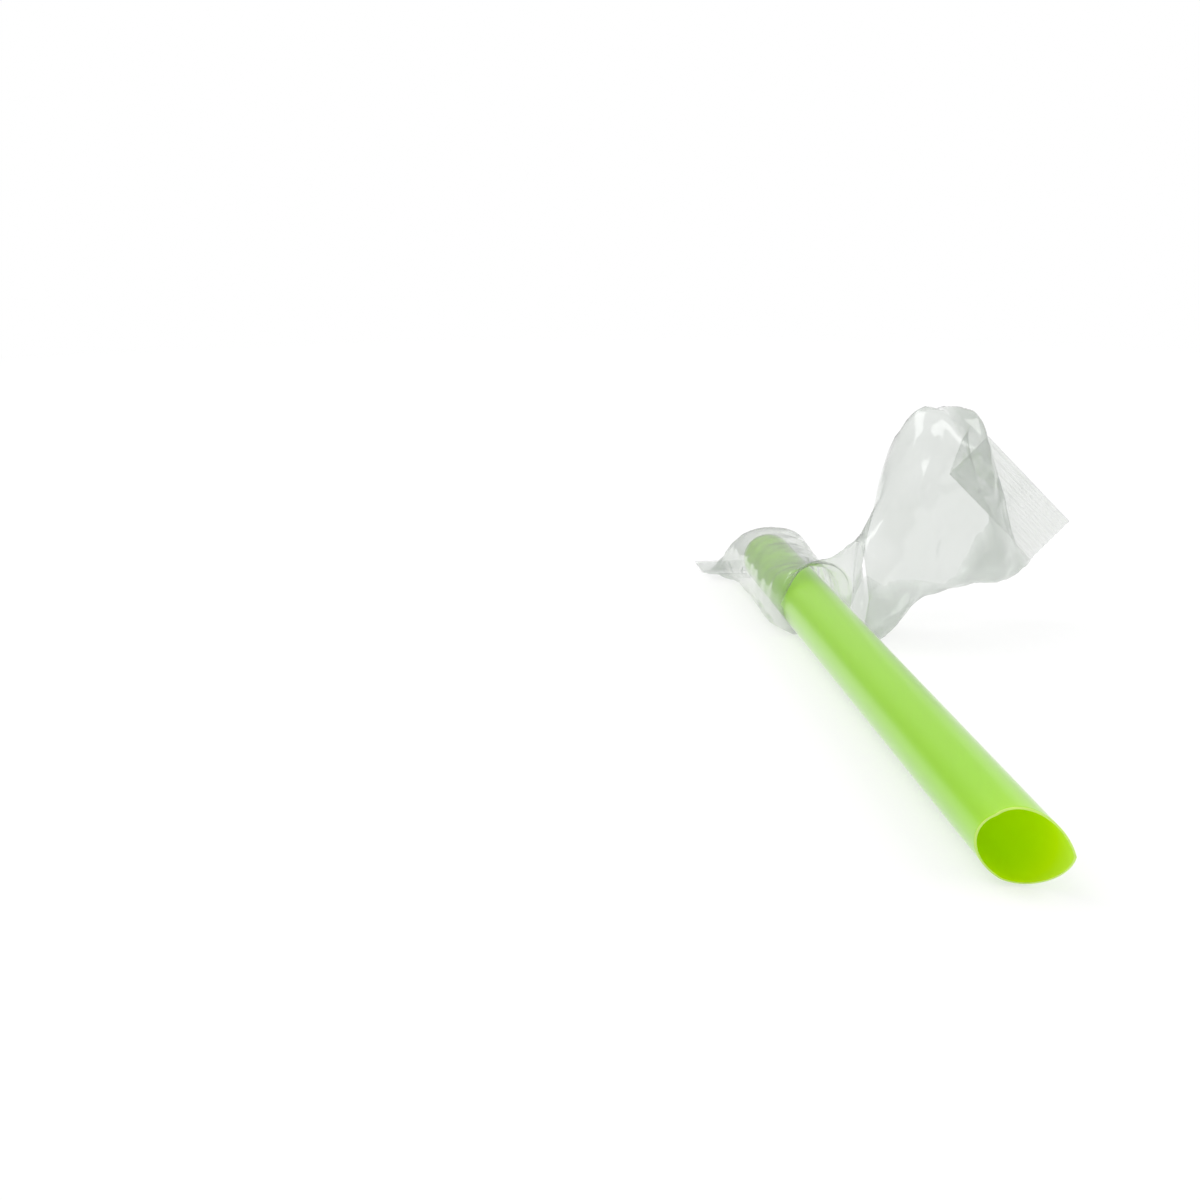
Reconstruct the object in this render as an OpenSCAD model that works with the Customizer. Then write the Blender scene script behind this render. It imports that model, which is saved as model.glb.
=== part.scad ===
// Wide drinking straw, pushed most of the way out of its own clear film sleeve.
// The straw lies along +X with its slanted mouth at the far end, and the origin
// is the centre of its square end. The sleeve is torn open at the side, and its
// empty front end is pushed over towards +Y, up to its crimped end seal.

/* [Straw] */
// Outside diameter of the straw
straw_d = 12; // [9:0.5:14]
// Thickness of the straw's wall
straw_wall = 0.3; // [0.2:0.05:0.5]
// Length from the square end to the point of the slanted mouth
straw_len = 210; // [180:5:250]
// Angle of the slanted cut, measured from a square one
mouth_slant = 41; // [30:1:48]
// Angle of the two small cuts that sharpen the point, from a square one
point_slant = 26; // [15:1:30]
// Angle at which those two cuts fall away to either side of the point
point_fall = 35; // [20:1:45]
// Turn of the point about the straw, up from the side
point_turn = 6; // [0:1:20]

/* [Sleeve] */
// Thickness of the film as modelled
film_t = 0.25; // [0.2:0.05:0.4]
// Gap between the straw and the film under it
film_gap = 0.2; // [0.1:0.05:0.4]
// Width of the sleeve where it is pressed flat
flat_w = 28; // [24:1:32]
// Length of straw that is still inside the sleeve
covered_len = 53; // [40:1:70]
// Half width of the sleeve round the straw, over the straw's own radius
side_slack = 2.8; // [1.5:0.1:4]
// Height of the sleeve over the top of the straw
top_slack = 1.6; // [0.8:0.1:3]
// Length of empty sleeve between the straw's square end and the rear seal
tail_len = 13; // [10:1:25]

/* [End seals] */
// Length of each crimped end seal
seal_len = 12; // [6:1:14]
// Distance from one crimp rib to the next
rib_pitch = 1.6; // [1.2:0.2:2.4]
// Height of a crimp rib
rib_rise = 0.5; // [0.3:0.1:0.8]
// Thickness of the pressed film in a seal
seal_t = 0.5; // [0.4:0.1:0.8]

/* [Empty front end] */
// Distance from the straw's axis to the middle of the front seal
flap_reach = 52.5; // [48:0.5:60]
// Height of the middle of the front seal over the straw's axis
flap_lift = 25; // [18:1:28]
// Half height of the film where it stands open
flap_half_h = 20.5; // [16:0.5:24]
// Half depth of the film where it stands open
flap_half_t = 9; // [6:0.5:11]
// Height of the standing film over the table
flap_clear = 7.5; // [2:0.5:9]
// Height of the creases in the film
crease = 1.3; // [0.4:0.1:1.6]

/* [Hidden] */
$fn = 96;

straw_r = straw_d / 2;
bore_r = straw_r - straw_wall;
floor_z = -straw_r - film_gap - film_t;   // underside of the film
past = 1;                                 // how far a cutter runs past what it cuts
big = 4 * straw_d;                        // size of the blocks that trim the mouth

around = 32;        // points round the sleeve
per_span = 4;       // rings between two stations of the sleeve

mouth_x = covered_len;                    // where the sleeve ends on the straw
seal_x = -tail_len;                       // where the flat rear seal begins
flap_x = mouth_x - 16;                    // where the front seal stands

// A block that removes all that lies beyond a plane through the point of the mouth
module beyond(slope_y, slope_z) {
    n = [1, -slope_y, slope_z];
    u = n / norm(n);
    translate([straw_len, straw_r, 0])
        rotate([0, -asin(u[2]), atan2(u[1], u[0])])
            translate([0, -big, -big]) cube([big, 2 * big, 2 * big]);
}

module straw() {
    color("yellowgreen", 0.9)
    rotate([point_turn, 0, 0])
    difference() {
        rotate([0, 90, 0]) cylinder(h = straw_len, r = straw_r);
        translate([-past, 0, 0]) rotate([0, 90, 0])
            cylinder(h = straw_len + 2 * past, r = bore_r);
        beyond(tan(mouth_slant), 0);
        for (side = [-1, 1]) beyond(tan(point_slant), side * tan(point_fall));
    }
}

side_r = straw_r + side_slack;
press = 0.6;                              // how far the rings reach under the floor line
mid_z = (floor_z + straw_r + top_slack) / 2 - press;
mid_h = (straw_r + top_slack - floor_z) / 2 + press;
flat_z = floor_z + seal_t / 2 + rib_rise / 2;
end_rise = 45;                            // climb of the empty end towards its seal
skin_end = [flap_x, flap_reach - seal_len * cos(end_rise), flap_lift - seal_len * sin(end_rise)];
open_z = floor_z + flap_clear + flap_half_h;

// Stations of the sleeve from the rear seal to the front one: centre,
// [half width across, half height, squareness, crease, heading, lean]
stations = [
    [[seal_x, 0, flat_z], [flat_w / 2, seal_t / 2, 0.5, 0, 0, 0]],
    [[seal_x * 0.55, 0, flat_z + 1.6], [flat_w / 2 - 1.5, 2.2, 0.9, 0.5, 0, 0]],
    [[0, 0, mid_z], [side_r + 0.8, mid_h, 0.85, 0.15, 0, 0]],
    [[mouth_x * 0.4, 0, mid_z], [side_r, mid_h, 0.85, 0.1, 0, 0]],
    [[mouth_x - 11, 0, mid_z], [side_r, mid_h, 0.85, 0.2, 0, 0]],
    [[mouth_x, 4, mid_z + 2], [side_r, mid_h + 2, 0.9, 0.3, 45, 0]],
    [[mouth_x + 1, 13, mid_z + 6], [flap_half_t, mid_h + 6, 0.9, 0.6, 95, 0]],
    [[mouth_x - 5, flap_reach * 0.46, open_z], [flap_half_t, flap_half_h, 0.9, 1, 112, 0]],
    [[flap_x + 4, flap_reach * 0.8, open_z - 0.5], [flap_half_t * 0.8, flap_half_h - 1.5, 0.9, 1, 105, 13]],
    [skin_end, [seal_t / 2, flat_w / 2, 0.5, 0, 90, end_rise]]
];

// Smooth value at u between the second and third of four values
function between(p0, p1, p2, p3, u) =
    0.5 * (2 * p1 + (p2 - p0) * u + (2 * p0 - 5 * p1 + 4 * p2 - p3) * u * u
        + (3 * p1 - p0 - 3 * p2 + p3) * u * u * u);

last = len(stations) - 1;
function pick(i, k) = stations[max(0, min(last, i))][k];
function along(v, k) = let (i = min(last - 1, floor(v)), u = v - i)
    between(pick(i - 1, k), pick(i, k), pick(i + 1, k), pick(i + 2, k), u);

function unit(a) = a / norm(a);
function signed_pow(a, e) = sign(a) * pow(abs(a), e);
function fold(a) = abs(a - floor(a) - 0.5) * 4 - 1;   // sharp wave from -1 to 1

// Height of the creases at turn t round the sleeve and distance v along it
function creases(t, v) =
    0.5 * fold(v * 0.9 + 0.11 * sin(2 * t + 40))
    + 0.35 * fold(v * 1.3 + t / 120 + 0.2)
    + 0.3 * fold(v * 0.8 - t / 90 + 0.35)
    + 0.25 * sin(3 * t + 150 * v);

// One ring of points round the sleeve, drawn in by the given depth. Past either
// end it is moved on by the given distance and to one side, for a crimp rib.
function ring(v, depth, on = 0, side = 0) = let (
    f = along(v, 1),
    across = [sin(f[4]), -cos(f[4]), 0],
    upward = [-cos(f[4]) * sin(f[5]), -sin(f[4]) * sin(f[5]), cos(f[5])],
    thin = f[0] < f[1] ? across : upward,
    c = along(v, 0) + on * cross(upward, across) + side * thin
) [for (k = [0 : around - 1]) let (
        t = 360 * k / around,
        out = unit([cos(t) / f[0], sin(t) / f[1]]),
        p = [f[0] * signed_pow(cos(t), f[2]), f[1] * signed_pow(sin(t), f[2])]
            + out * (crease * f[3] * creases(t, v) - depth),
        q = c + across * p[0] + upward * p[1]
    ) [q[0], q[1], max(q[2], floor_z + depth)]];

// Rings of the two seals and of the sleeve between them
ribs = 2 * floor(seal_len / rib_pitch);
rows = last * per_span;
rib_step = seal_len / ribs;
function rib_side(j) = rib_rise / 2 * (j % 2 == 0 ? -1 : 1);
outer_rings = concat(
    [for (j = [ribs : -1 : 1]) ring(0, 0, -j * rib_step, rib_side(j))],
    [for (i = [0 : rows]) ring(i / per_span, 0)],
    [for (j = [1 : ribs]) ring(last, 0, j * rib_step, rib_side(j))]);
inner_rings = [for (i = [0 : rows]) ring(i / per_span, film_t)];
first_row = 2;                            // the sleeve is hollow from here
last_row = rows - 2;                      // to here

// Is the cell between rows i and i + 1 and turns k and k + 1 cut away?
half = around / 2;
mouth_rows = [round(4.5 * per_span), round(5.75 * per_span)];
slit_rows = [round(6.25 * per_span), round(8.25 * per_span)];
function mouth_half(i) = min(around / 4, i - mouth_rows[0] + around / 4 - 2);
function slit_half(i) = min(6, i - slit_rows[0] + 2, slit_rows[1] + 1 - i);
function cut(i, kk) = let (k = (kk + around) % around, m = min(k, around - 1 - k))
    i < 0 || i >= rows ? true
    : (i >= mouth_rows[0] && i < mouth_rows[1] && m < mouth_half(i))
    || (i >= slit_rows[0] && i < slit_rows[1] && half - 1 - m < slit_half(i));

// The film of the sleeve: one closed surface, out along its outside, round the
// edges of its two openings and back along its inside
module film() {
    outer = [for (r = outer_rings) each r];
    inner = [for (r = inner_rings) each r];
    end = len(outer_rings) - 1;
    function o(i, k) = (i + ribs) * around + (k + around) % around;
    function n(i, k) = len(outer) + i * around + (k + around) % around;
    function hollow(i) = i >= first_row && i < last_row;
    function quad(a, b, c, d) = [[a, b, c], [a, c, d]];
    outside = [for (i = [-ribs : rows + ribs - 1], k = [0 : around - 1])
        if (i < 0 || i >= rows || !cut(i, k))
            each quad(o(i, k), o(i, k + 1), o(i + 1, k + 1), o(i + 1, k))];
    inside = [for (i = [first_row : last_row - 1], k = [0 : around - 1]) if (!cut(i, k))
        each quad(n(i, k), n(i + 1, k), n(i + 1, k + 1), n(i, k + 1))];
    edges = [for (i = [first_row : last_row - 1], k = [0 : around - 1]) if (!cut(i, k))
        each concat(
            cut(i - 1, k) ? quad(o(i, k + 1), o(i, k), n(i, k), n(i, k + 1)) : [],
            cut(i, k + 1) ? quad(o(i + 1, k + 1), o(i, k + 1), n(i, k + 1), n(i + 1, k + 1)) : [],
            cut(i + 1, k) ? quad(o(i + 1, k), o(i + 1, k + 1), n(i + 1, k + 1), n(i + 1, k)) : [],
            cut(i, k - 1) ? quad(o(i, k), o(i + 1, k), n(i + 1, k), n(i, k)) : [])];
    caps = [
        [for (k = [around - 1 : -1 : 0]) o(-ribs, k)],
        [for (k = [0 : around - 1]) o(rows + ribs, k)],
        [for (k = [0 : around - 1]) n(first_row, k)],
        [for (k = [around - 1 : -1 : 0]) n(last_row, k)]];
    polyhedron(points = concat(outer, inner), faces = concat(outside, inside, edges, caps));
}

module wrapper() {
    color("gainsboro", 0.5) film();
}

straw();
wrapper();
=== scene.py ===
import math

import bpy
import numpy as np
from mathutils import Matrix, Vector, noise


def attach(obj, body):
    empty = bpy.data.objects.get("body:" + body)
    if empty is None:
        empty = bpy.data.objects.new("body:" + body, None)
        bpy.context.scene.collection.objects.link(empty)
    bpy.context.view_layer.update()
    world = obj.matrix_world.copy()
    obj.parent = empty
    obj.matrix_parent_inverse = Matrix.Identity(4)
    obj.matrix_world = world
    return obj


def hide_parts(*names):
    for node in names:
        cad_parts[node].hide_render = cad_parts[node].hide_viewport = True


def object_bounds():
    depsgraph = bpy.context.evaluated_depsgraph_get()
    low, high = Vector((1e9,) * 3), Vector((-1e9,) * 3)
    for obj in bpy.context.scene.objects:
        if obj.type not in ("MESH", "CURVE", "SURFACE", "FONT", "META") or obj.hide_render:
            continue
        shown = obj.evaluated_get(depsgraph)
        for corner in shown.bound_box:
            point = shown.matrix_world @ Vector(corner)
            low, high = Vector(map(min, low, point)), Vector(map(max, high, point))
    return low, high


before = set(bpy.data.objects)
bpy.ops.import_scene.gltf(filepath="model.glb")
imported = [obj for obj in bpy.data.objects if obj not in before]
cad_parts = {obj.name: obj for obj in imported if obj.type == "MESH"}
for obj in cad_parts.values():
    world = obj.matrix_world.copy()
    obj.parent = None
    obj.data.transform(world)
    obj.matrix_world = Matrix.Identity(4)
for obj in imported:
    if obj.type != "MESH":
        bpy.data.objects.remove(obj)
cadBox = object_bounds()
mm = 0.001
pureWhite = (1, 1, 1, 1)
print(f"frame loaded with {len(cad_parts)} nodes")


def opaque(colour):
    return (*colour, 1)


# Node trees

class Wire:                                # an output socket that can be reckoned with
    def __init__(self, maker, socket):
        self.maker = maker
        self.socket = socket

    def math(self, operation, first, second=0.0):
        return self.maker.node("ShaderNodeMath", {"operation": operation}, {0: first, 1: second})

    def __add__(self, other):
        return self.math("ADD", self, other)

    def __radd__(self, other):
        return self.math("ADD", other, self)

    def __sub__(self, other):
        return self.math("SUBTRACT", self, other)

    def __rsub__(self, other):
        return self.math("SUBTRACT", other, self)

    def __mul__(self, other):
        return self.math("MULTIPLY", self, other)

    def __rmul__(self, other):
        return self.math("MULTIPLY", other, self)

    def __truediv__(self, other):
        return self.math("DIVIDE", self, other)

    def __pow__(self, other):
        return self.math("POWER", self, other)

    def __gt__(self, other):
        return self.math("GREATER_THAN", self, other)

    def sine(self):
        return self.math("SINE", self)

    def held(self):                        # kept between 0 and 1
        return self.math("MINIMUM", self.math("MAXIMUM", self, 0.0), 1.0)


class Maker:                               # adds nodes to one tree
    def __init__(self, tree):
        self.tree = tree
        self.tree.nodes.clear()

    def node(self, kind, settings=None, inputs=None, out=0):
        made = self.tree.nodes.new(kind)
        for name, value in (settings or {}).items():
            setattr(made, name, value)
        for name, value in (inputs or {}).items():
            if isinstance(value, Wire):
                self.tree.links.new(value.socket, made.inputs[name])
            else:
                made.inputs[name].default_value = value
        return Wire(self, made.outputs[out]) if len(made.outputs) else None

    def attribute(self, name):             # a value that the mesh carries
        return self.node("ShaderNodeAttribute", {"attribute_name": name}, out="Fac")

    def noise(self, place, scale, detail=2.0, roughness=0.5):
        return self.node("ShaderNodeTexNoise", {"noise_dimensions": "3D"},
                         {"Vector": place, "Scale": scale, "Detail": detail, "Roughness": roughness})

    def bump(self, height, strength, distance):
        return self.node("ShaderNodeBump", None,
                         {"Strength": strength, "Distance": distance, "Height": height})

    def grazing(self, normal):             # 0 where the surface is seen face on, 1 at its outline
        return self.node("ShaderNodeLayerWeight", None, {"Blend": 0.5, "Normal": normal}, out="Facing")

    def polish(self, roughness, normal):
        return self.node("ShaderNodeBsdfAnisotropic", None,
                         {"Color": pureWhite, "Roughness": roughness, "Normal": normal})

    def blend(self, share, first, second, way="MIX"):
        return self.node("ShaderNodeMix", {"data_type": "RGBA", "blend_type": way},
                         {0: share, 6: first, 7: second}, out=2)

    def mixShaders(self, share, first, second):
        return self.node("ShaderNodeMixShader", None, {0: share, 1: first, 2: second})


def newMaterial(name):
    material = bpy.data.materials.new(name)
    material.use_nodes = True
    return material, Maker(material.node_tree)


# Camera, as the photo was taken

cameraSettings = {
    "lens": 60.0,
    "sensor": 36.0,
    "place": (471.15, -88.91, 101.48),     # millimetres from the straw's square end
    "pitch": 13.19,                        # degrees below level
    "heading": 84.21,                      # degrees round from looking along +Y
    "range": (0.01, 20.0),                 # metres
}


def addCamera(s):
    data = bpy.data.cameras.new("camera")
    data.lens = s["lens"]
    data.sensor_width = s["sensor"]
    data.clip_start, data.clip_end = s["range"]
    camera = bpy.data.objects.new("camera", data)
    camera.location = Vector(s["place"]) * mm
    camera.rotation_euler = (math.radians(90 - s["pitch"]), 0, math.radians(s["heading"]))
    bpy.context.scene.collection.objects.link(camera)
    bpy.context.scene.camera = camera


addCamera(cameraSettings)
print("camera placed")


# Straw

strawSettings = {
    "diameter": 12.0,                      # all lengths in millimetres
    "wall": 0.3,
    "length": 210.0,
    "mouthSlant": 41.0,                    # degrees from a square cut
    "pointSlant": 26.0,
    "pointFall": 35.0,
    "pointTurn": 6.0,
    "lipRound": 0.07,
    "mouthRun": 6.0,                       # before the slanted cut, where the rings begin to lean
    "around": 256,
    "straightRings": 64,
    "mouthRings": 14,
    "outside": (0.43, 0.83, 0.005),        # linear colours
    # painted light: the inside is a brighter, more saturated copy of the outside colour, standing in for
    # light through the wall
    "inside": (0.84, 0.98, 0.0),
    # painted highlight: the cut lip is paler than the wall, for light caught along the cut
    "cut": (0.80, 0.97, 0.30),
    "outsideGlow": (0.61, 0.89, 0.015),    # of the light that comes through the wall
    "insideGlow": (1.0, 1.0, 0.0),
    "outsideShare": 0.40,                  # how much of the colour is that glow
    "insideShare": 0.65,
    "shade": 0.93,                         # at its darkest
    "streaks": 0.10,                       # added by the streaks that the extruder leaves
    "streakScale": (6, 260, 260),          # per metre, along the straw and across it
    "clouds": 0.04,
    "cloudScale": 45.0,
    "ripple": 0.4,
    "rippleStrength": 0.04,
    "paintedLightRun": 8.0,                        # painted light: next to the open point the inside is paler, as if lit there
    "paintedLightShare": 0.6,
    "roughness": 0.45,
    "shine": (0.01, 0.9),                  # seen face on, and added towards the outline
    "shineRoughness": 0.28,
    "insideDull": 0.8,
}


def meshObject(name, points, faces, smooth=True):
    mesh = bpy.data.meshes.new(name)
    mesh.from_pydata([tuple(p) for p in points], [], faces)
    mesh.update()
    mesh.polygons.foreach_set("use_smooth", [smooth] * len(mesh.polygons))
    made = bpy.data.objects.new(name, mesh)
    bpy.context.scene.collection.objects.link(made)
    return made


def slope(degrees):
    return math.tan(math.radians(degrees))


def mouthEnd(s, y, z):                     # where a line along the straw meets the cuts
    back = y - s["diameter"] / 2
    wide = slope(s["mouthSlant"]) * back
    fine = slope(s["pointSlant"]) * back
    fall = slope(s["pointFall"]) * np.abs(z)
    return s["length"] + np.minimum(wide, fine - fall)


def strawRings(s):
    outer = s["diameter"] / 2
    inner = outer - s["wall"]
    soft = s["lipRound"]
    turn = np.linspace(0, 2 * math.pi, s["around"], endpoint=False)
    roll = math.radians(s["pointTurn"])
    straight = s["length"] - s["diameter"] * slope(s["mouthSlant"]) - s["mouthRun"]

    def ring(radius, place):               # place: a distance, or one worked out from the cut's
        y, z = radius * np.cos(turn), radius * np.sin(turn)
        x = place(mouthEnd(s, y, z)) if callable(place) else np.full_like(y, place)
        return np.stack([x, y * math.cos(roll) - z * math.sin(roll),
                         y * math.sin(roll) + z * math.cos(roll)], 1)

    def wall(radius):
        rings = [ring(radius, x) for x in np.linspace(soft, straight, s["straightRings"])]
        for share in np.linspace(0, 1, s["mouthRings"])[1:]:
            rings.append(ring(radius, lambda end, u=share: straight + (end - soft - straight) * u))
        return rings

    corner = [(0.3, 0.3), (1.0, 0.0)]      # in from the wall and back from the cut, in roundings
    edge = [(outer - a * soft, b * soft) for a, b in corner]
    edge += [(inner + a * soft, b * soft) for a, b in reversed(corner)]
    lip = [ring(radius, lambda end, short=short: end - short) for radius, short in edge]
    heel = [ring(radius, short) for radius, short in reversed(edge)]
    outside, inside = wall(outer), wall(inner)[::-1]
    lipFrom = len(outside)
    insideFrom = lipFrom + len(lip)
    return outside + lip + inside + heel, lipFrom, insideFrom, insideFrom + len(inside)


def strawPiece(s):
    rings, lipFrom, insideFrom, insideTo = strawRings(s)
    around = s["around"]
    faces, inside, cut = [], [], []
    for i in range(len(rings)):
        a, b = i * around, (i + 1) % len(rings) * around
        for k in range(around):
            n = (k + 1) % around
            faces.append((a + k, b + k, b + n, a + n))
        inside += [float(insideFrom <= i < insideTo - 1)] * around
        cut += [float(lipFrom - 1 <= i < insideFrom or i >= insideTo - 1)] * around
    piece = meshObject("strawTube", np.concatenate(rings) * mm, faces)
    for name, values in (("inside", inside), ("cut", cut)):
        piece.data.attributes.new(name, "FLOAT", "FACE").data.foreach_set("value", values)
    piece.data.materials.append(strawMaterial(s))
    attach(piece, "root")
    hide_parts("straw")


def strawMaterial(s):
    material, m = newMaterial("strawPlastic")
    place = m.node("ShaderNodeTexCoord", out="Object")
    inside, cut = m.attribute("inside"), m.attribute("cut")
    drawnOut = m.node("ShaderNodeMapping", None, {"Vector": place, "Scale": s["streakScale"]})
    streaks = m.noise(drawnOut, 1.0, detail=3.0)
    clouds = m.noise(place, s["cloudScale"])
    shade = s["shade"] + s["streaks"] * streaks + s["clouds"] * clouds
    run = m.node("ShaderNodeSeparateXYZ", None, {0: place}, out="X")
    # painted light: the inside turns paler over the last millimetres before the point
    paintedLightNearPoint = s["paintedLightShare"] * ((run / mm - s["length"] + s["paintedLightRun"]) / s["paintedLightRun"]).held()

    # painted light: the inside wall takes its brighter copy of the colour
    litInsideColour = m.blend(paintedLightNearPoint, opaque(s["inside"]), opaque(s["cut"]))
    colour = m.blend(inside, opaque(s["outside"]), litInsideColour)
    # painted highlight: the lip takes the pale cut colour
    colour = m.blend(cut, colour, opaque(s["cut"]))
    grey = m.node("ShaderNodeCombineColor", None, {0: shade, 1: shade, 2: shade})
    ripple = m.bump(streaks, s["rippleStrength"], s["ripple"] * mm)
    body = m.node("ShaderNodeBsdfPrincipled", None, {
        "Base Color": m.blend(1.0, colour, grey, "MULTIPLY"),
        "Roughness": s["roughness"], "Normal": ripple})

    outerGlow, innerGlow, cutGlow = (
        m.node("ShaderNodeBsdfTranslucent", None, {"Color": opaque(s[name])})
        for name in ("outsideGlow", "insideGlow", "cut"))
    innerGlow = m.mixShaders(paintedLightNearPoint, innerGlow, cutGlow)
    glow = m.mixShaders(cut, m.mixShaders(inside, outerGlow, innerGlow), cutGlow)
    glowShare = s["outsideShare"] + (s["insideShare"] - s["outsideShare"]) * inside
    plastic = m.mixShaders(glowShare, body, glow)

    faceOn, atOutline = s["shine"]
    mirror = (faceOn + atOutline * m.grazing(ripple) ** 5) * (1 - s["insideDull"] * inside)
    surface = m.mixShaders(mirror, plastic, m.polish(s["shineRoughness"], ripple))
    m.node("ShaderNodeOutputMaterial", None, {"Surface": surface})
    return material


strawPiece(strawSettings)
print("straw made")


# Film sleeve

sleeveSettings = {
    "filmGap": 0.2,                        # all lengths in millimetres
    "modelFilm": 0.25,                     # thickness of the film in the CAD model
    "film": 0.06,                          # and here
    "flatWidth": 28.0,
    "flatLift": 0.5,                       # middle of the rear seal over the lowest film
    "covered": 53.0,
    "sideSlack": 2.8,
    "topSlack": 1.6,
    "tail": 13.0,
    "sealLength": 12.0,
    "sealThick": 0.16,
    "ribPitch": 1.6,
    "ribRise": 0.5,
    "weld": 0.01,
    "flapReach": 52.5,
    "flapLift": 25.0,
    "flapBack": 16.0,
    "flapHalfHeight": 20.5,
    "flapHalfDepth": 9.0,
    "flapClear": 7.5,
    "endRise": 45.0,                       # degrees
    "press": 0.6,
    "mouth": (4.5, 5.75, 90.0),            # stations between which it is open, and degrees to a side
    "slit": (6.15, 8.35, 72.0),
    "tear": ((2.2, 0, 14.0), (9.0, 3, 5.0)),    # waves per station, layer of noise, degrees
    "crease": 1.3,
    "wrinkle": 0.35,
    "wrinkleScale": 0.09,
    "perSpan": 18,
    "perSide": 56,
    "sealRows": 52,
    "seam": 3.2,                           # width of the lap along the back
    "stretch": 5.0,                        # width of the thinned film beside the slit
    "stretchFrom": 25.0,                   # degrees of slit at which it is fully thinned
    "smoothFrom": 14.0,                    # height at which the smooth film by the front seal begins
    "smoothRise": 8.0,
    "smoothClear": 0.85,
    "tint": (0.893, 0.905, 0.893),         # linear colour of what shows through the film
    "thinLoss": 0.75,                      # share of that tint lost where the film is thinned
    "sealLoss": 0.25,                      # and in the seals, lightening them partly as a painted highlight
    "lapGain": 0.4,                        # and kept by the lap
    "grey": (0.70, 0.73, 0.70),            # linear colours of the haze
    "white": (0.90, 0.92, 0.90),           # and of the crimped seals, whitened by crimping and partly a painted highlight
    "cloudScale": 60.0,
    "fineScale": 420.0,
    "fineShare": 0.2,
    "dimple": 0.6,
    "dimpleStrength": 0.12,
    "gloss": (0.04, 0.7),                  # seen face on, and added towards the outline
    "glossRoughness": 0.12,
    "haze": (0.05, 0.12, 0.12),            # everywhere, added by clouds and towards the outline
    "hazeRoughness": 0.35,
    "sealHaze": 0.5,
    "lapHaze": 0.15,
    "hazeLoss": 0.9,                       # where the film is thinned
}


def sleeveStations(s):
    radius = strawSettings["diameter"] / 2
    floor = -radius - s["filmGap"] - s["modelFilm"]
    side = radius + s["sideSlack"]
    middle = (floor + radius + s["topSlack"]) / 2 - s["press"]
    tall = (radius + s["topSlack"] - floor) / 2 + s["press"]
    flat = floor + s["flatLift"]
    mouth, tail, reach = s["covered"], -s["tail"], s["flapReach"]
    flapX = mouth - s["flapBack"]
    rise = math.radians(s["endRise"])
    endY = reach - s["sealLength"] * math.cos(rise)
    endZ = s["flapLift"] - s["sealLength"] * math.sin(rise)
    halfFlat, halfSeal = s["flatWidth"] / 2, s["sealThick"] / 2
    depth, half = s["flapHalfDepth"], s["flapHalfHeight"]
    raised = floor + s["flapClear"] + half
    # centre, half width across, half height, squareness, crease, heading, lean
    return np.array([
        (tail, 0, flat, halfFlat, halfSeal, 0.5, 0, 0, 0),
        (tail * 0.55, 0, flat + 1.6, halfFlat - 1.5, 2.2, 0.9, 0.5, 0, 0),
        (0, 0, middle, side + 0.8, tall, 0.85, 0.15, 0, 0),
        (mouth * 0.4, 0, middle, side, tall, 0.85, 0.1, 0, 0),
        (mouth - 11, 0, middle, side, tall, 0.85, 0.2, 0, 0),
        (mouth, 4, middle + 2, side, tall + 2, 0.9, 0.3, 45, 0),
        (mouth + 1, 13, middle + 6, depth, tall + 6, 0.9, 0.6, 95, 0),
        (mouth - 5, reach * 0.46, raised, depth, half, 0.9, 1, 112, 0),
        (flapX + 4, reach * 0.8, raised - 0.5, depth * 0.8, half - 1.5, 0.9, 1, 105, 13),
        (flapX, endY, endZ, halfSeal, halfFlat, 0.5, 0, 90, s["endRise"]),
    ]), floor


def along(stations, v):                    # smooth values at v stations from the rear seal
    last = len(stations) - 1
    i = min(last - 1, int(math.floor(v)))
    u = v - i
    p0, p1, p2, p3 = (stations[max(0, min(last, j))] for j in (i - 1, i, i + 1, i + 2))
    return 0.5 * (2 * p1 + (p2 - p0) * u + (2 * p0 - 5 * p1 + 4 * p2 - p3) * u * u
                  + (3 * p1 - p0 - 3 * p2 + p3) * u ** 3)


def fold(a):                               # sharp wave from -1 to 1
    return np.abs(a - np.floor(a) - 0.5) * 4 - 1


def creases(t, v):                         # the folds that the CAD model has too, t in degrees
    return (0.5 * fold(v * 0.9 + 0.11 * np.sin(np.radians(2 * t + 40)))
            + 0.35 * fold(v * 1.3 + t / 120 + 0.2)
            + 0.3 * fold(v * 0.8 - t / 90 + 0.35)
            + 0.25 * np.sin(np.radians(3 * t + 150 * v)))


def wrinkle(p, scale):                     # small sharp creases in the film
    q = Vector(p) * scale
    broad = abs(noise.noise(Vector((q.x * 1.3, q.y, q.z))))
    fine = abs(noise.noise(Vector((q.x * 3.1 + 7, q.y * 2.6, q.z * 2.6))))
    return 1 - 3.2 * broad - 1.3 * fine


def mouthHalf(s, v):                       # widens fast behind a blunt start, and ends blunt
    start, end, most = s["mouth"]
    if not start < v < end:
        return 0.0
    widening = min(1, 0.62 + 2.2 * ((v - start) / (end - start)))
    return most * widening * min(1, ((v - start) / 0.06) ** 0.5) * min(1, ((end - v) / 0.12) ** 0.5)


def slitHalf(s, v):                        # widest in the middle
    start, end, most = s["slit"]
    if not start < v < end:
        return 0.0
    u = (v - start) / (end - start)
    return most * min(1, 1.2 * (1 - abs(2 * u - 1))) ** 0.85


def torn(s, value, v, seed):               # a torn edge is never quite even
    if value <= 0:
        return 0.0
    rough = sum(noise.noise(Vector((v * waves, seed, layer))) * size for waves, layer, size in s["tear"])
    return max(0.5, value + rough * min(1, value / 20))


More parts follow.
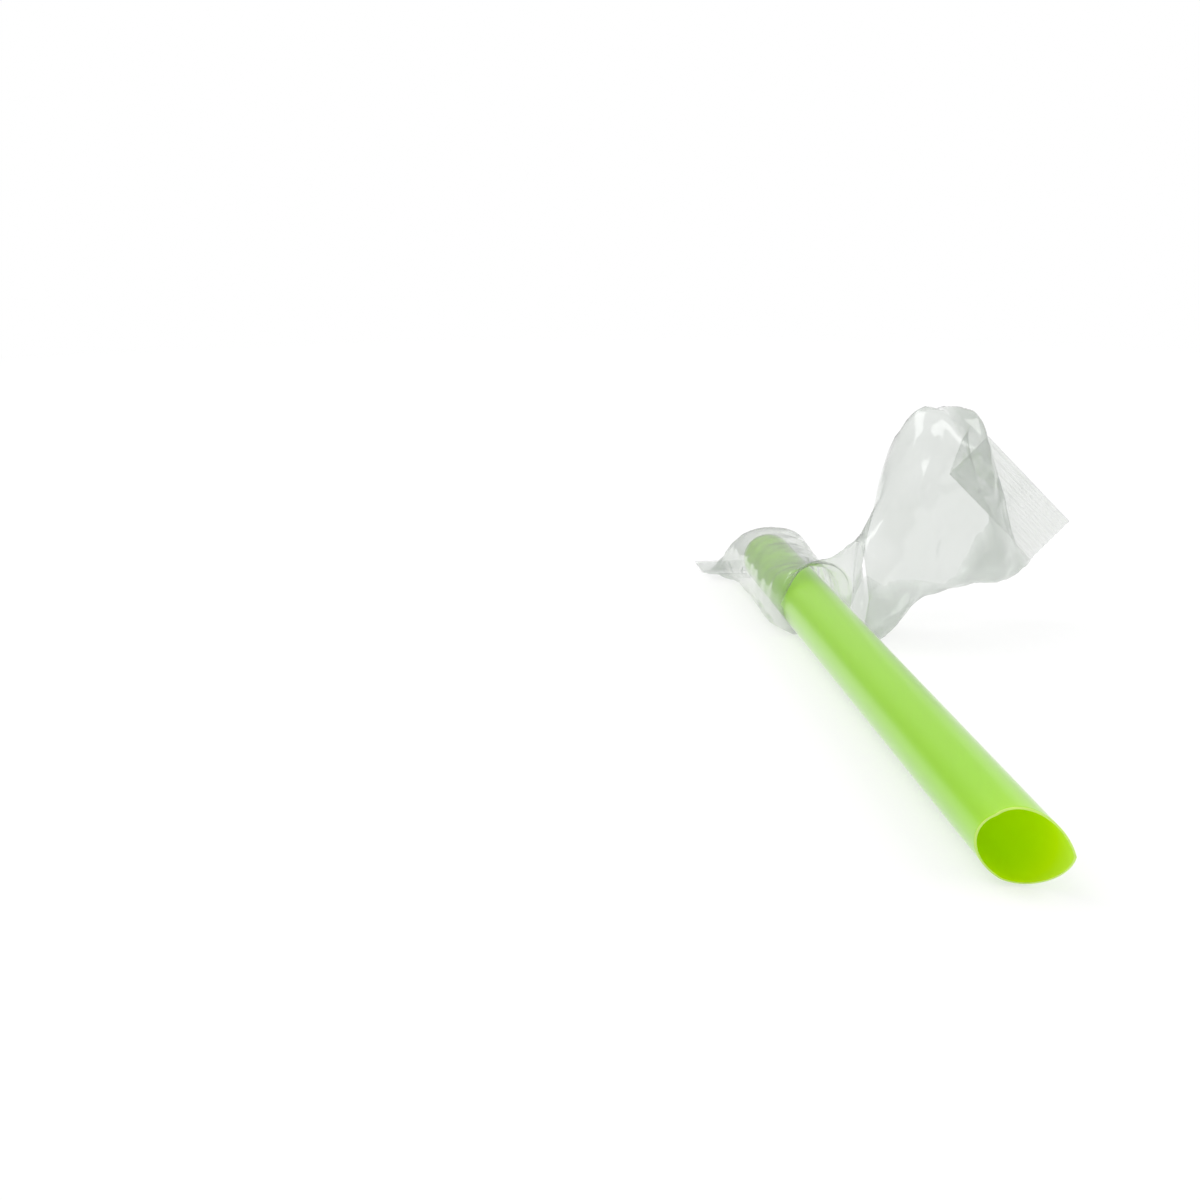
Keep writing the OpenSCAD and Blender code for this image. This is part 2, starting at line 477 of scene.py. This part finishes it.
def filmRow(s, stations, floor, v, on):    # the film from mouth to slit, and on to the mouth again
    last = len(stations) - 1
    x, y, z, wide, tall, square, crumple, heading, lean = along(stations, v)
    heading, lean = math.radians(heading), math.radians(lean)
    across = np.array([math.sin(heading), -math.cos(heading), 0])
    upward = np.array([-math.cos(heading) * math.sin(lean), -math.sin(heading) * math.sin(lean),
                       math.cos(lean)])
    thin = across if wide < tall else upward
    centre = np.array([x, y, z]) + on * np.cross(upward, across)
    mouth, slit = mouthHalf(s, v), slitHalf(s, v)
    share = np.linspace(0, 1, s["perSide"])
    begin, stop = torn(s, mouth, v, 0.0), 180 - torn(s, slit, v, 9.0)
    resume, finish = 180 + torn(s, slit, v, 14.0), 360 - torn(s, mouth, v, 5.0)
    sides = []
    for second, t in enumerate((begin + (stop - begin) * share, resume + (finish - resume) * share)):
        c, d = np.cos(np.radians(t)), np.sin(np.radians(t))
        out = np.stack([c / wide, d / tall], 1)
        out /= np.linalg.norm(out, axis=1)[:, None]
        flat = np.stack([wide * np.sign(c) * np.abs(c) ** square,
                         tall * np.sign(d) * np.abs(d) ** square], 1)
        flat = flat + out * (s["crease"] * crumple * creases(t, v))[:, None]
        place = centre + flat[:, :1] * across + flat[:, 1:] * upward
        if on == 0:                        # the film between the seals is wrinkled
            normal = out[:, :1] * across + out[:, 1:] * upward
            small = np.array([wrinkle(p, s["wrinkleScale"]) for p in place])
            small = small * s["wrinkle"] * (0.4 + 0.6 * min(1, crumple * 2))
            place = place + normal * (small * min(1, v * 2, (last - v) * 2))[:, None]
        place[:, 2] = np.maximum(place[:, 2], floor)
        atEnd = min(1, max(0, v - last + 1) * 2)
        sides.append((place, np.full(len(t), abs(on)), np.tile(thin, (len(t), 1)),
                      *filmFinish(s, place, second, slit, crumple, atEnd)))
    return sides


def filmFinish(s, place, second, slit, crumple, atEnd):    # how clear each point is, and the lap
    toBack = np.insert(np.cumsum(np.linalg.norm(np.diff(place, axis=0), axis=1)), 0, 0)
    if not second:
        toBack = toBack[-1] - toBack
    stretched = np.maximum(0, 1 - toBack / s["stretch"]) * min(1, slit / s["stretchFrom"])
    high = np.clip((place[:, 2] - s["smoothFrom"]) / s["smoothRise"], 0, 1)
    smooth = np.maximum(1 - min(1, crumple * 1.5), high * atEnd)
    lap = (toBack < s["seam"]) * float(second and slit == 0)
    return np.maximum(stretched, s["smoothClear"] * smooth), lap


def sleevePiece(s):
    stations, floor = sleeveStations(s)
    last = len(stations) - 1
    sealSteps = [j * s["sealLength"] / s["sealRows"] for j in range(1, s["sealRows"] + 1)]
    rows = [(0.0, -on) for on in reversed(sealSteps)]
    rows += [(i / s["perSpan"], 0.0) for i in range(last * s["perSpan"] + 1)]
    rows += [(float(last), on) for on in sealSteps]
    sides = [side for v, on in rows for side in filmRow(s, stations, floor, v, on)]
    points, sealRun, sealSide, clearness, lap = (np.concatenate(column) for column in zip(*sides))
    faces = []
    for i in range(len(sides) - 2):        # a side joins the same side of the next row
        a, b = i * s["perSide"], (i + 2) * s["perSide"]
        for k in range(s["perSide"] - 1):
            faces.append((a + k, a + k + 1, b + k + 1, b + k))
    piece = meshObject("filmSleeve", points * mm, faces)
    for name, values in (("sealRun", sealRun), ("clearness", clearness), ("lap", lap)):
        piece.data.attributes.new(name, "FLOAT", "POINT").data.foreach_set("value", values)
    mark = piece.data.attributes.new("sealSide", "FLOAT_VECTOR", "POINT")
    mark.data.foreach_set("vector", sealSide.ravel())
    material = filmMaterial(s)
    piece.data.materials.append(material)
    ribs = piece.modifiers.new("crimpRibs", "NODES")
    ribs.node_group = crimpTree()
    sizes = {"Weld": s["weld"] * mm, "Pitch": s["ribPitch"], "Rise": s["ribRise"] * mm, "Film": material}
    for name, value in sizes.items():
        ribs[socketOf(ribs.node_group, name)] = value
    thickness = piece.modifiers.new("filmThickness", "SOLIDIFY")
    thickness.thickness = s["film"] * mm
    thickness.offset = -1
    piece = flattened(piece)
    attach(piece, "root")
    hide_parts("wrapper")


def flattened(piece):                      # its modifiers worked out into a plain mesh
    bpy.context.view_layer.update()
    shape = piece.evaluated_get(bpy.context.evaluated_depsgraph_get())
    mesh = bpy.data.meshes.new_from_object(shape)
    name = piece.name
    bpy.data.objects.remove(piece)
    plain = bpy.data.objects.new(name, mesh)
    bpy.context.scene.collection.objects.link(plain)
    return plain


def socketOf(tree, name):
    return next(item.identifier for item in tree.interface.items_tree
                if item.item_type == "SOCKET" and item.in_out == "INPUT" and item.name == name)


def crimpTree():                           # presses ribs across both end seals
    tree = bpy.data.node_groups.new("crimpRibs", "GeometryNodeTree")
    kinds = {"Geometry": "Geometry", "Weld": "Float", "Pitch": "Float", "Rise": "Float",
             "Film": "Material"}
    for name, kind in kinds.items():
        tree.interface.new_socket(name=name, in_out="INPUT", socket_type="NodeSocket" + kind)
    tree.interface.new_socket(name="Geometry", in_out="OUTPUT", socket_type="NodeSocketGeometry")
    m = Maker(tree)
    given = tree.nodes.new("NodeGroupInput")
    film, weld, pitch, rise, material = (Wire(m, given.outputs[name]) for name in kinds)
    welded = m.node("GeometryNodeMergeByDistance", None, {"Geometry": film, "Distance": weld})
    run = m.node("GeometryNodeInputNamedAttribute", {"data_type": "FLOAT"}, {"Name": "sealRun"})
    side = m.node("GeometryNodeInputNamedAttribute", {"data_type": "FLOAT_VECTOR"},
                  {"Name": "sealSide"})
    wave = (run * math.tau / pitch).sine() * rise * 0.5
    offset = m.node("ShaderNodeVectorMath", {"operation": "SCALE"}, {0: side, "Scale": wave})
    ribbed = m.node("GeometryNodeSetPosition", None, {"Geometry": welded, "Offset": offset})
    single = m.node("GeometryNodeRealizeInstances", None, {"Geometry": ribbed})
    painted = m.node("GeometryNodeSetMaterial", None, {"Geometry": single, "Material": material})
    m.node("NodeGroupOutput", None, {"Geometry": painted})
    return tree


def filmMaterial(s):
    material, m = newMaterial("clearFilm")
    place = m.node("ShaderNodeTexCoord", out="Object")
    clouds = m.noise(place, s["cloudScale"], detail=3.0, roughness=0.55)
    fine = m.noise(place, s["fineScale"])
    sealed = m.attribute("sealRun") > 0.01
    clearness, lap = m.attribute("clearness"), m.attribute("lap")
    dimples = m.bump(clouds + s["fineShare"] * fine, s["dimpleStrength"], s["dimple"] * mm)
    edge = m.grazing(dimples)

    tinted, bare = (m.node("ShaderNodeBsdfTransparent", None, {"Color": colour})
                    for colour in (opaque(s["tint"]), pureWhite))
    thinned = (s["thinLoss"] * clearness + s["sealLoss"] * sealed - s["lapGain"] * lap).held()
    faceOn, atOutline = s["gloss"]
    glossy = m.mixShaders(faceOn + atOutline * edge ** 5, m.mixShaders(thinned, tinted, bare),
                          m.polish(s["glossRoughness"], dimples))

    # the crimped seals are whiter: crimping whitens the film, and partly a painted highlight
    haze = m.node("ShaderNodeBsdfPrincipled", None, {
        "Base Color": m.blend(sealed, opaque(s["grey"]), opaque(s["white"])),
        "Roughness": s["hazeRoughness"], "Normal": dimples})
    everywhere, byClouds, atOutline = s["haze"]
    share = (everywhere + byClouds * clouds + atOutline * edge ** 2
             + s["sealHaze"] * sealed + s["lapHaze"] * lap).held() * (1 - s["hazeLoss"] * clearness)
    m.node("ShaderNodeOutputMaterial", None, {"Surface": m.mixShaders(share, glossy, haze)})
    return material


sleevePiece(sleeveSettings)
print("sleeve made")


# Floor, light and background

stageSettings = {
    "floorSize": 6.0,                      # metres
    "floorColour": 0.98,
    "shadowShare": 0.35,                   # how much of the floor's own shading shows
    "shadowReach": 0.3,                    # metres round the object in which it shows
    "world": (0.3, 0.85),                  # light from the horizon and from overhead
    "worldRise": 1.3,                      # how fast one turns into the other
    "lamps": (                             # place, aim, size, watts
        ((-0.5, -0.6, 1.1), (0.08, 0.0, 0.0), 0.9, 7.0),
        ((0.4, 0.9, 0.9), (0.08, 0.0, 0.0), 0.7, 4.0),
        ((-1.15, 0.68, 0.37), (0.08, 0.0, 0.0), 0.7, 0.6),
    ),
    "filmLayers": 48,                      # that a ray may pass through
}


def onRays(m, *kinds):                     # 1 on rays of these kinds, 0 on others
    return sum(m.node("ShaderNodeLightPath", out=f"Is {kind} Ray") for kind in kinds).held()


def addFloor(s):
    half, low = s["floorSize"] / 2, cadBox[0].z
    corners = [(x * half, y * half, low) for x, y in ((-1, -1), (1, -1), (1, 1), (-1, 1))]
    floor = meshObject("floor", corners, [(0, 1, 2, 3)], smooth=False)
    material, m = newMaterial("floorPaper")
    paper = m.node("ShaderNodeBsdfDiffuse", None, {"Color": opaque((s["floorColour"],) * 3)})
    white = m.node("ShaderNodeEmission", None, {"Color": pureWhite, "Strength": 1.0})
    place = m.node("ShaderNodeTexCoord", out="Object")
    away = m.node("ShaderNodeVectorMath", {"operation": "LENGTH"}, {0: place}, out="Value")
    near = (1 - (away - s["shadowReach"]) / s["shadowReach"]).held()
    share = onRays(m, "Camera", "Glossy", "Transmission") * (1 - s["shadowShare"] * near)
    m.node("ShaderNodeOutputMaterial", None, {"Surface": m.mixShaders(share, paper, white)})
    floor.data.materials.append(material)


def addWorld(s):
    world = bpy.data.worlds.new("studio")
    bpy.context.scene.world = world
    world.use_nodes = True
    m = Maker(world.node_tree)
    way = m.node("ShaderNodeTexCoord", out="Generated")
    height = m.node("ShaderNodeSeparateXYZ", None, {0: way}, out="Z")
    low, high = s["world"]
    strength = low + (high - low) * (height * s["worldRise"]).held()
    soft, white = (m.node("ShaderNodeBackground", None, {"Color": pureWhite, "Strength": value})
                   for value in (strength, 1.0))
    share = onRays(m, "Camera", "Transmission")
    m.node("ShaderNodeOutputWorld", None, {"Surface": m.mixShaders(share, soft, white)})


def addLamps(s):
    for i, (place, aim, size, watts) in enumerate(s["lamps"]):
        data = bpy.data.lights.new(f"softBox{i}", "AREA")
        data.size = size
        data.energy = watts
        lamp = bpy.data.objects.new(f"softBox{i}", data)
        lamp.location = place
        lamp.rotation_euler = (Vector(aim) - Vector(place)).to_track_quat("-Z", "Y").to_euler()
        lamp.visible_camera = False
        bpy.context.scene.collection.objects.link(lamp)


addFloor(stageSettings)
addWorld(stageSettings)
addLamps(stageSettings)
bpy.context.scene.view_settings.view_transform = "Standard"
bpy.context.scene.cycles.transparent_max_bounces = stageSettings["filmLayers"]
print("stage set")
